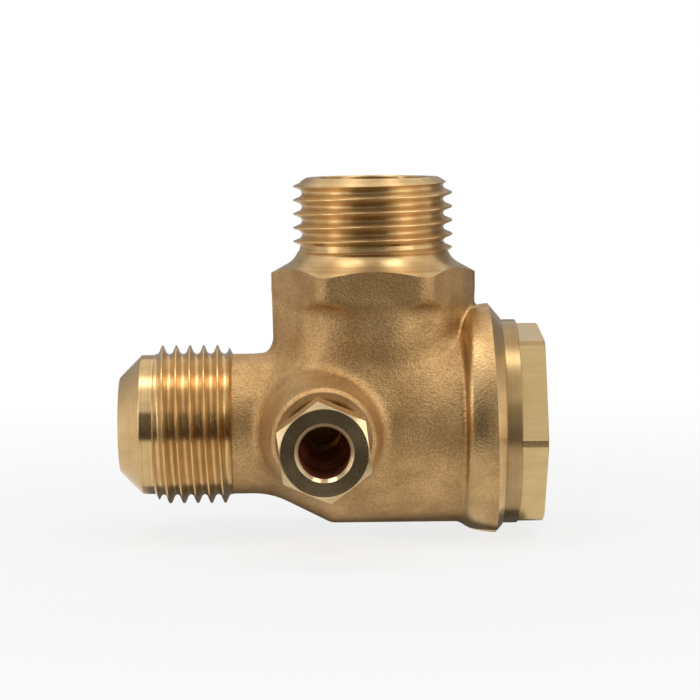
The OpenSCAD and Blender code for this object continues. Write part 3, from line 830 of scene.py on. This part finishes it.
def outlet_end():
    """The turned outlet: thread and its lead chamfer."""
    rod = threaded_rod(THREAD_R, THREAD_PITCH, THREAD_DEPTH, THREAD_CREST,
                       OUTLET_RISE, OUTLET_END, OUTLET_CLOCK, ALONG_OUTLET, TURNED_OUTLET)
    limit = lathe([(0, OUTLET_RISE - 0.5, 0), (WAIST_R - 0.1, OUTLET_RISE - 0.5, 0),
                   (THREAD_R, OUTLET_RISE + 0.5, 0),
                   (THREAD_R, OUTLET_LEAD_Z, 0.15), (OUTLET_RIM_R, OUTLET_END, 0.1),
                   (0, OUTLET_END, 0)], ALONG_OUTLET)
    rod = combine(rod, limit, "INTERSECT")
    core = lathe([(0, OUTLET_CORE_Z, 0), (OUTLET_CORE_R, OUTLET_CORE_Z, 0),
                  (WAIST_R - 0.05, OUTLET_RISE - 0.3, 0), (WAIST_R - 0.4, OUTLET_RISE + 1.1, 0),
                  (OUTLET_CORE_TOP_R, OUTLET_RISE + 1.1, 0), (OUTLET_CORE_TOP_R, OUTLET_RISE + 2, 0),
                  (0, OUTLET_RISE + 2, 0)], ALONG_OUTLET)
    return combine(core, rod, "UNION")


def valve_body():
    """The forging with its ends turned and its passages bored."""
    body = forging_blank()
    cone = (HEX_TOP - FOOT_Z) / (HEX_R - FOOT_R)
    top = lathe([(0, -FAR, 0), (FAR, -FAR, 0), (FAR, FOOT_Z + (FAR - FOOT_R) * cone, 0),
                 (FOOT_R, FOOT_Z, 3), (WAIST_R, OUTLET_RISE, 0), (0, OUTLET_RISE, 0)],
                ALONG_OUTLET, FINE_SIDES, 8)
    body = combine(body, top, "INTERSECT")
    bevel_top = BEVEL_R + BEVEL_RISE
    bevel_x = BODY_END - BEVEL_RISE / math.tan(BEVEL_SLOPE)
    end = lathe([(0, -FAR, 0), (FAR, -FAR, 0), (FAR, bevel_x, 0), (bevel_top, bevel_x, 0),
                 (BEVEL_R, BODY_END, 0.1), (0, BODY_END, 0)], ALONG_BARREL, FINE_SIDES)
    body = combine(body, end, "INTERSECT")
    across, along = BOSS_CHAMFER
    foot = BOSS_R + ON_SKIN + BOSS_SPARE * math.tan(BOSS_DRAFT)
    edge = BOSS_R + ON_SKIN + along * math.tan(BOSS_DRAFT)
    face = lathe([(0, -FAR, 0), (FAR, -FAR, 0), (FAR, BOSS_FACE - BOSS_SPARE, 0),
                  (foot, BOSS_FACE - BOSS_SPARE, 0), (edge, BOSS_FACE - along, 0.25),
                  (BOSS_R - across, BOSS_FACE, 0.25), (0, BOSS_FACE, 0)], ALONG_PORT)
    body = combine(body, face, "INTERSECT")
    body = combine(body, inlet_end(), "UNION")
    body = combine(body, outlet_end(), "UNION")
    bores = lathe([(0, NOSE_X - 1, 0), (INLET_BORE_R + 1.35, NOSE_X - 1, 0),
                   (INLET_BORE_R, NOSE_X + 0.35, 0.1), (INLET_BORE_R, SEAT_X, 0),
                   (SEAT_R, SEAT_X, 0), (SEAT_R, CHAMBER_X, 0), (CHAMBER_R, CHAMBER_X, 0),
                   (CHAMBER_R, CAP_THREAD_X, 0), (CAP_BORE_R, CAP_THREAD_X, 0),
                   (CAP_BORE_R, MOUTH_X, 0), (MOUTH_R, MOUTH_X, 0),
                   (MOUTH_R, BODY_END + 1, 0), (0, BODY_END + 1, 0)], ALONG_BARREL)
    body = combine(body, bores, "DIFFERENCE")
    passage = lathe([(0, OUTLET_FLOOR, 0), (OUTLET_BORE_R, OUTLET_FLOOR, 0),
                     (OUTLET_BORE_R, OUTLET_END - 0.12, 0), (OUTLET_BORE_R + 1.12, OUTLET_END + 1, 0),
                     (0, OUTLET_END + 1, 0)], ALONG_OUTLET)
    body = combine(body, passage, "DIFFERENCE")
    port = lathe([(0, INLET_BORE_R / 2, 0), (PASSAGE_R, INLET_BORE_R / 2, 0),
                  (PASSAGE_R, PORT_FLOOR, 0), (PORT_R, PORT_FLOOR, 0),
                  (PORT_R, BOSS_FACE - 0.4, 0), (PORT_R + 1.4, BOSS_FACE + 1, 0),
                  (0, BOSS_FACE + 1, 0)], ALONG_PORT)
    return combine(body, port, "DIFFERENCE")


# Pieces

def finished(name, mesh, metals, node, sharp=38, use=None):
    """Makes a piece of a mesh drawn in millimetres: sets it down, smooths it and names it.
    With several metals, use gives the number of each face's own."""
    mesh.transform(SET_DOWN)
    mesh.name = name
    mesh.materials.clear()
    for metal in metals:
        mesh.materials.append(metal)
    if use is not None:
        mesh.polygons.foreach_set("material_index", use.astype(np.int32))
    mesh.shade_smooth()
    mesh.set_sharp_from_angle(angle=math.radians(sharp))
    thing = on_bench(mesh, name + "_raw")
    thing.modifiers.new("even_shading", "WEIGHTED_NORMAL").keep_sharp = True
    piece = on_bench(evaluated(thing), name)
    piece.data.name = name
    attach(piece, "valve")
    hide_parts(node)
    return piece


def face_places(mesh):
    """Middle and outward direction of each face."""
    found = []
    for fact in ("center", "normal"):
        values = np.empty(len(mesh.polygons) * 3)
        mesh.polygons.foreach_get(fact, values)
        found.append(values.reshape(-1, 3))
    return found


body_mesh = valve_body()
x, y, z = face_places(body_mesh)[0].T
forged = np.abs(forging_skin(x, y, z)) < ON_SKIN
from_barrel, from_outlet, from_port = np.hypot(y, z), np.hypot(x, y), np.hypot(x - PORT_X, z)
at_port = (-y > PORT_FLOOR - 0.5) & (from_port < BOSS_R + 0.95)
boss_edge = at_port & (from_port > BOSS_R - 0.45)
at_outlet = z > HEX_TOP - 1.5
inlet_thread = (x > INLET_THREAD_X) & (x < INLET_THREAD_END + INLET_RUN_OUT)
inlet_thread &= from_barrel > NOSE_R - 0.5
outlet_thread = (z > OUTLET_RISE) & (z < OUTLET_LEAD_Z) & (from_outlet > OUTLET_BORE_R + 0.5)
body_metals = [FORGED, TURNED_BARREL, TURNED_OUTLET, TURNED_PORT, THREADED_INLET, THREADED_OUTLET]
use = np.full(len(x), body_metals.index(TURNED_BARREL))
for metal, where in ((TURNED_PORT, at_port), (TURNED_OUTLET, at_outlet), (THREADED_INLET, inlet_thread),
                     (THREADED_OUTLET, outlet_thread), (FORGED, forged | boss_edge)):
    use[where] = body_metals.index(metal)
finished("forged_valve_body", body_mesh, body_metals, "valve_body", use=use)


def cap():
    """The end cap: plug, collar and hexagon, hollow for the spring and its guide."""
    blank = lathe([(0, PLUG_X, 0), (PLUG_R - 0.6, PLUG_X, 0.1), (PLUG_R, PLUG_X + 0.6, 0.1),
                   (PLUG_R, GROOVE_X, 0), (GROOVE_R, GROOVE_X, 0), (GROOVE_R, BODY_END, 0),
                   (COLLAR_R, BODY_END, 0.12), (COLLAR_R, COLLAR_X, 0.15), (0, COLLAR_X, 0)],
                  ALONG_BARREL)
    bar = hex_bar(CAP_FLAT, COLLAR_X - 1, CAP_X, CAP_CLOCK, ALONG_BARREL)
    trim = lathe([(0, COLLAR_X - 2, 0), (COLLAR_R - 0.4, COLLAR_X - 2, 0),
                  (COLLAR_R - 0.4, COLLAR_X - 0.1, 0), (CAP_CORNER_R, COLLAR_X - 0.1, 0),
                  (CAP_CORNER_R, CAP_X - 0.15, 0.06), (CAP_CORNER_R - 0.4, CAP_X, 0.05),
                  (0, CAP_X, 0)], ALONG_BARREL)
    blank = combine(blank, combine(bar, trim, "INTERSECT"), "UNION")
    hollow = lathe([(0, PLUG_X - 1, 0), (POCKET_R, PLUG_X - 1, 0), (POCKET_R, POCKET_FLOOR_X, 0),
                    (GUIDE_R, POCKET_FLOOR_X, 0), (GUIDE_R, GUIDE_X, 0), (0, GUIDE_X, 0)],
                   ALONG_BARREL)
    blank = combine(blank, hollow, "DIFFERENCE")
    guide = lathe([(0, PLUG_X, 0), (GUIDE_BORE_R, PLUG_X, 0),
                   (GUIDE_BORE_R, GUIDE_FLOOR_X, 0), (0, GUIDE_FLOOR_X, 0)], ALONG_BARREL)
    return combine(blank, guide, "DIFFERENCE")


cap_mesh = cap()
middle, out = face_places(cap_mesh)
flats = (middle[:, 0] > COLLAR_X) & (np.abs(out[:, 0]) < 0.01)
flats &= np.abs((middle * out).sum(1) - CAP_FLAT) < 0.02
finished("hex_end_cap", cap_mesh, [TURNED_CAP, CAP_FLATS], "end_cap", 20, flats)


def nipple():
    """The nipple: a chamfered hexagon on a threaded stub, with a stepped bore."""
    bar = hex_bar(NIPPLE_FLAT, NIPPLE_BACK, NIPPLE_FRONT, NIPPLE_CLOCK, ALONG_PORT)
    face_r = NIPPLE_FLAT - 0.1
    chamfer = math.tan(math.radians(30))
    wide = 9   # past the bar's corners
    trim = lathe([(0, NIPPLE_BACK - 1, 0), (wide, NIPPLE_BACK - 1, 0),
                  (wide, NIPPLE_FRONT - (wide - face_r) * chamfer, 0), (face_r, NIPPLE_FRONT, 0.06),
                  (0, NIPPLE_FRONT, 0)], ALONG_PORT)
    blank = combine(bar, trim, "INTERSECT")
    rod = threaded_rod(NIPPLE_R, NIPPLE_PITCH, NIPPLE_THREAD_DEPTH, NIPPLE_CREST, NIPPLE_END,
                       NIPPLE_BACK, 0, ALONG_PORT, TURNED_NIPPLE)
    limit = lathe([(0, NIPPLE_END, 0), (NIPPLE_R - 0.7, NIPPLE_END, 0),
                   (NIPPLE_R, NIPPLE_END + 0.7, 0), (NIPPLE_R, NIPPLE_BACK + 1, 0),
                   (0, NIPPLE_BACK + 1, 0)], ALONG_PORT)
    blank = combine(blank, combine(rod, limit, "INTERSECT"), "UNION")
    bore = lathe([(0, NIPPLE_END - 1, 0), (NIPPLE_PASSAGE_R, NIPPLE_END - 1, 0),
                  (NIPPLE_PASSAGE_R, NIPPLE_BORE_FLOOR, 0), (NIPPLE_BORE_R, NIPPLE_BORE_FLOOR, 0),
                  (NIPPLE_BORE_R, NIPPLE_FRONT - 0.45, 0.05),
                  (NIPPLE_BORE_R + 1.45, NIPPLE_FRONT + 1, 0), (0, NIPPLE_FRONT + 1, 0)], ALONG_PORT)
    return combine(blank, bore, "DIFFERENCE")


nipple_mesh = nipple()
middle, out = face_places(nipple_mesh)
middle = middle - (PORT_X, 0, 0)
flats = (-middle[:, 1] > NIPPLE_BACK) & (np.abs(out[:, 1]) < 0.01)
flats &= np.abs((middle * out).sum(1) - NIPPLE_FLAT) < 0.02
# The hexagon's back is one face round the bore, so its middle lies in the bore and it takes the
# bore's painted finish too. That is a fault, which shows only from behind.
from_bore = np.hypot(middle[:, 0], middle[:, 2])
bored = (from_bore < NIPPLE_BORE_R + ON_SKIN) & (-middle[:, 1] < NIPPLE_FRONT - 0.4)
deep = from_bore < NIPPLE_PASSAGE_R + ON_SKIN
finished("hex_unloader_nipple", nipple_mesh,
         [TURNED_NIPPLE, NIPPLE_FLATS, BORE_SHADE_NIPPLE, BORE_LIGHT_PASSAGE],
         "unloader_nipple", 20, np.where(bored, 2 + deep, flats))

spring_mesh = wound(SPRING_TREE, {
    "Radius": SPRING_R, "Turns": SPRING_TURNS, "Height": SPRING_TO - SPRING_FROM,
    "Depth": WIRE_R, "Root Width": 0.0, "Crest Width": 0.0, "Crest Round": 0.0, "Metal": STEEL},
    ALONG_BARREL @ Matrix.Translation((0, 0, SPRING_FROM)))
spring = finished("wound_return_spring", spring_mesh, [STEEL], "return_spring", 60)
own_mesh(spring)

# The inner pieces keep their shape from the part and take its finishes
for node, metal in {"poppet": TURNED_CAP, "poppet_seal": RUBBER, "seal_washer": STEEL,
                    "seal_screw": STEEL, "cap_sealing_ring": RUBBER}.items():
    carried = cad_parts[node].data
    carried.materials.clear()
    carried.materials.append(metal)


# Camera, light and floor

CAMERA_PLACE = (-7.76, -331.6, 43)   # millimetres from where the axes cross
CAMERA_DOWN = math.radians(5.74)
CAMERA_RIGHT = math.radians(0.8)
CAMERA_ROLL = math.radians(-0.5)
FOCAL = 2516 / 700                   # focal length as a share of the picture's width
SENSOR = 36


def camera():
    """Stands where the photograph was taken from, a little above and to the left."""
    data = bpy.data.cameras.new("camera")
    data.sensor_width = SENSOR
    data.lens = FOCAL * SENSOR
    thing = bpy.data.objects.new("camera", data)
    bpy.context.scene.collection.objects.link(thing)
    x, y, z = CAMERA_PLACE
    place = Vector((x, y, z - OUTLET_RISE)) * MM
    gaze = Vector((math.sin(CAMERA_RIGHT) * math.cos(CAMERA_DOWN),
                   math.cos(CAMERA_RIGHT) * math.cos(CAMERA_DOWN), -math.sin(CAMERA_DOWN)))
    thing.matrix_world = (Matrix.Translation(place) @ gaze.to_track_quat("-Z", "Y").to_matrix().to_4x4()
                          @ Matrix.Rotation(CAMERA_ROLL, 4, "Z"))
    bpy.context.scene.camera = thing


def lamp(name, azimuth, elevation, distance, wide, tall, power):
    """A rectangular soft box that faces the part. Azimuth 0 is the camera's side."""
    data = bpy.data.lights.new(name, "AREA")
    data.shape = "RECTANGLE"
    data.size, data.size_y, data.energy = wide, tall, power
    thing = bpy.data.objects.new(name, data)
    bpy.context.scene.collection.objects.link(thing)
    a, e = math.radians(azimuth), math.radians(elevation)
    away = Vector((math.sin(a) * math.cos(e), -math.cos(a) * math.cos(e), math.sin(e)))
    aim = Vector((-5, 0, -15)) * MM
    thing.location = aim + away * distance
    thing.rotation_mode = "QUATERNION"
    thing.rotation_quaternion = away.to_track_quat("Z", "Y")
    thing.visible_camera = False


def card(name, tone, corners):
    """A flat card of one even tone that the metal mirrors and the camera doesn't see."""
    paint, tree, _, _ = blank_material(name)
    glow = add(tree, "ShaderNodeEmission", {"Color": linear(tone)})
    tree.links.new(glow.outputs[0], tree.nodes["Material Output"].inputs["Surface"])
    mesh = mesh_from(corners, [(0, 1, 2, 3)])
    mesh.materials.append(paint)
    thing = on_bench(mesh, name)
    thing.visible_camera = False
    thing.visible_shadow = False
    thing.visible_diffuse = False


def seen_rays(tree):
    """1 for the rays that show the background: seen, mirrored or let through. 0 for the rest."""
    path = add(tree, "ShaderNodeLightPath").outputs
    seen = add(tree, "ShaderNodeMath", {
        0: path["Is Camera Ray"], 1: path["Is Glossy Ray"]}, operation="MAXIMUM")
    seen = add(tree, "ShaderNodeMath", {
        0: seen.outputs[0], 1: path["Is Transmission Ray"]}, operation="MAXIMUM")
    return seen.outputs[0]


def white_tent():
    """The world: white where it is seen, and a softer light on the part."""
    world = bpy.data.worlds.new("white_tent")
    bpy.context.scene.world = world
    world.use_nodes = True
    tree = world.node_tree
    tree.nodes.clear()
    plain = add(tree, "ShaderNodeBackground", {"Color": linear("#FFFFFF"), "Strength": 0.6})
    white = add(tree, "ShaderNodeBackground", {"Color": linear("#FFFFFF"), "Strength": 1.0})
    both = add(tree, "ShaderNodeMixShader", {
        0: seen_rays(tree), 1: plain.outputs[0], 2: white.outputs[0]})
    add(tree, "ShaderNodeOutputWorld", {"Surface": both.outputs[0]})


# Cards in metres. Those in front stand on the floor from left to right behind the camera, and
# those on the floor lie just over it, each with its corners as (x, y).
FRONT_Y = -0.6
FRONT_LEFT = -0.42
FRONT_RIGHT = 0.27
FRONT_TOP = 0.28
FLOOR_CARDS = {
    "card_before_part": ("#3C3A38", [(FRONT_LEFT, FRONT_Y), (FRONT_RIGHT, FRONT_Y),
                                     (0.04, -0.045), (-0.07, -0.045)]),
    # Painted shadow: a dark card just over the paper under and behind the part, which the metal mirrors
    # as the shadow that falls there.
    "shadow_card_behind_part": ("#6C6A68", [(-0.031, -0.0022), (0.0195, -0.0074), (0.05, 0.06), (-0.031, 0.06)]),
    # Painted light: a bright card just over the paper under the cap, which the metal mirrors as lit paper
    # where the part's shadow falls.
    "light_card_under_cap": ("#F4F4F4", [(0.0195, -0.03), (0.045, -0.03), (0.045, -0.001), (0.0195, -0.001)]),
    "card_on_right": ("#949494", [(0.05, 0.012), (0.28, 0.09), (0.15, 0.26), (0.03, 0.05)]),
}
# Walls of the tent round the back, by azimuth in degrees, with their height and tone
TENT_R = 0.3
TENT_WALLS = ((-110, -75, 0.18, "#E6E6E6"), (-145, -110, 0.18, "#B4B4B4"),
              (-180, -145, 0.18, "#A8A8A8"), (165, 180, 0.09, "#A0A0A0"),
              (150, 165, 0.18, "#A0A0A0"), (108, 150, 0.18, "#848484"))


def cards():
    """All that the metal mirrors round the part."""
    base = cad_low.z
    card("card_behind_camera", "#3C3A38", [
        (FRONT_LEFT, FRONT_Y, base), (FRONT_RIGHT, FRONT_Y, base),
        (FRONT_RIGHT, FRONT_Y, FRONT_TOP), (FRONT_LEFT, FRONT_Y, FRONT_TOP)])
    card("card_over_camera", "#E0E0E0", [
        (FRONT_LEFT, FRONT_Y, FRONT_TOP), (FRONT_RIGHT, FRONT_Y, FRONT_TOP),
        (FRONT_RIGHT, -0.5, 0.5), (FRONT_LEFT, -0.5, 0.5)])
    for name, (tone, corners) in FLOOR_CARDS.items():
        card(name, tone, [(x, y, base + MM) for x, y in corners])
    for start, stop, high, tone in TENT_WALLS:
        one, other = ((TENT_R * math.sin(math.radians(a)), -TENT_R * math.cos(math.radians(a)))
                      for a in (start, stop))
        card(f"tent_wall_{start}", tone, [(*one, base), (*other, base), (*other, high), (*one, high)])


# White paper: a matt sheet that keeps the part's shadow near it and runs out into plain white.
def white_paper():
    paper, tree, shader, place = blank_material("white_paper")
    shader.inputs["Base Color"].default_value = linear("#C4C4C4")
    shader.inputs["Roughness"].default_value = 0.9
    shader.inputs["Emission Color"].default_value = linear("#FFFFFF")
    shader.inputs["Emission Strength"].default_value = 0.1
    far = add(tree, "ShaderNodeVectorMath", {0: place}, operation="LENGTH")
    fade = add(tree, "ShaderNodeMapRange", {
        "Value": far.outputs["Value"], "From Min": 0.06, "From Max": 0.16, "To Min": 0.78})
    share = add(tree, "ShaderNodeMath", {
        0: seen_rays(tree), 1: fade.outputs["Result"]}, operation="MULTIPLY")
    glow = add(tree, "ShaderNodeEmission", {"Color": linear("#FFFFFF"), "Strength": 1.0})
    both = add(tree, "ShaderNodeMixShader", {
        0: share.outputs[0], 1: shader.outputs[0], 2: glow.outputs[0]})
    tree.links.new(both.outputs[0], tree.nodes["Material Output"].inputs["Surface"])
    return paper


def floor():
    """A wide sheet of paper under the part."""
    wide = 3
    mesh = mesh_from([(-wide, -wide, 0), (wide, -wide, 0), (wide, wide, 0), (-wide, wide, 0)],
                     [(0, 1, 2, 3)])
    mesh.transform(Matrix.Translation((0, 0, cad_low.z)))
    mesh.materials.append(white_paper())
    on_bench(mesh, "floor")


camera()
white_tent()
cards()
lamp("top_left", azimuth=-70, elevation=69.4, distance=0.6, wide=0.22, tall=0.2, power=0.75)
lamp("top_right", azimuth=69, elevation=70, distance=0.6, wide=0.18, tall=0.18, power=0.62)
lamp("left_box", azimuth=-68, elevation=12, distance=0.7, wide=0.26, tall=0.5, power=0.75)
lamp("right_box", azimuth=55, elevation=12, distance=0.7, wide=0.26, tall=0.5, power=0.9)
floor()
bpy.context.scene.view_settings.view_transform = "Standard"
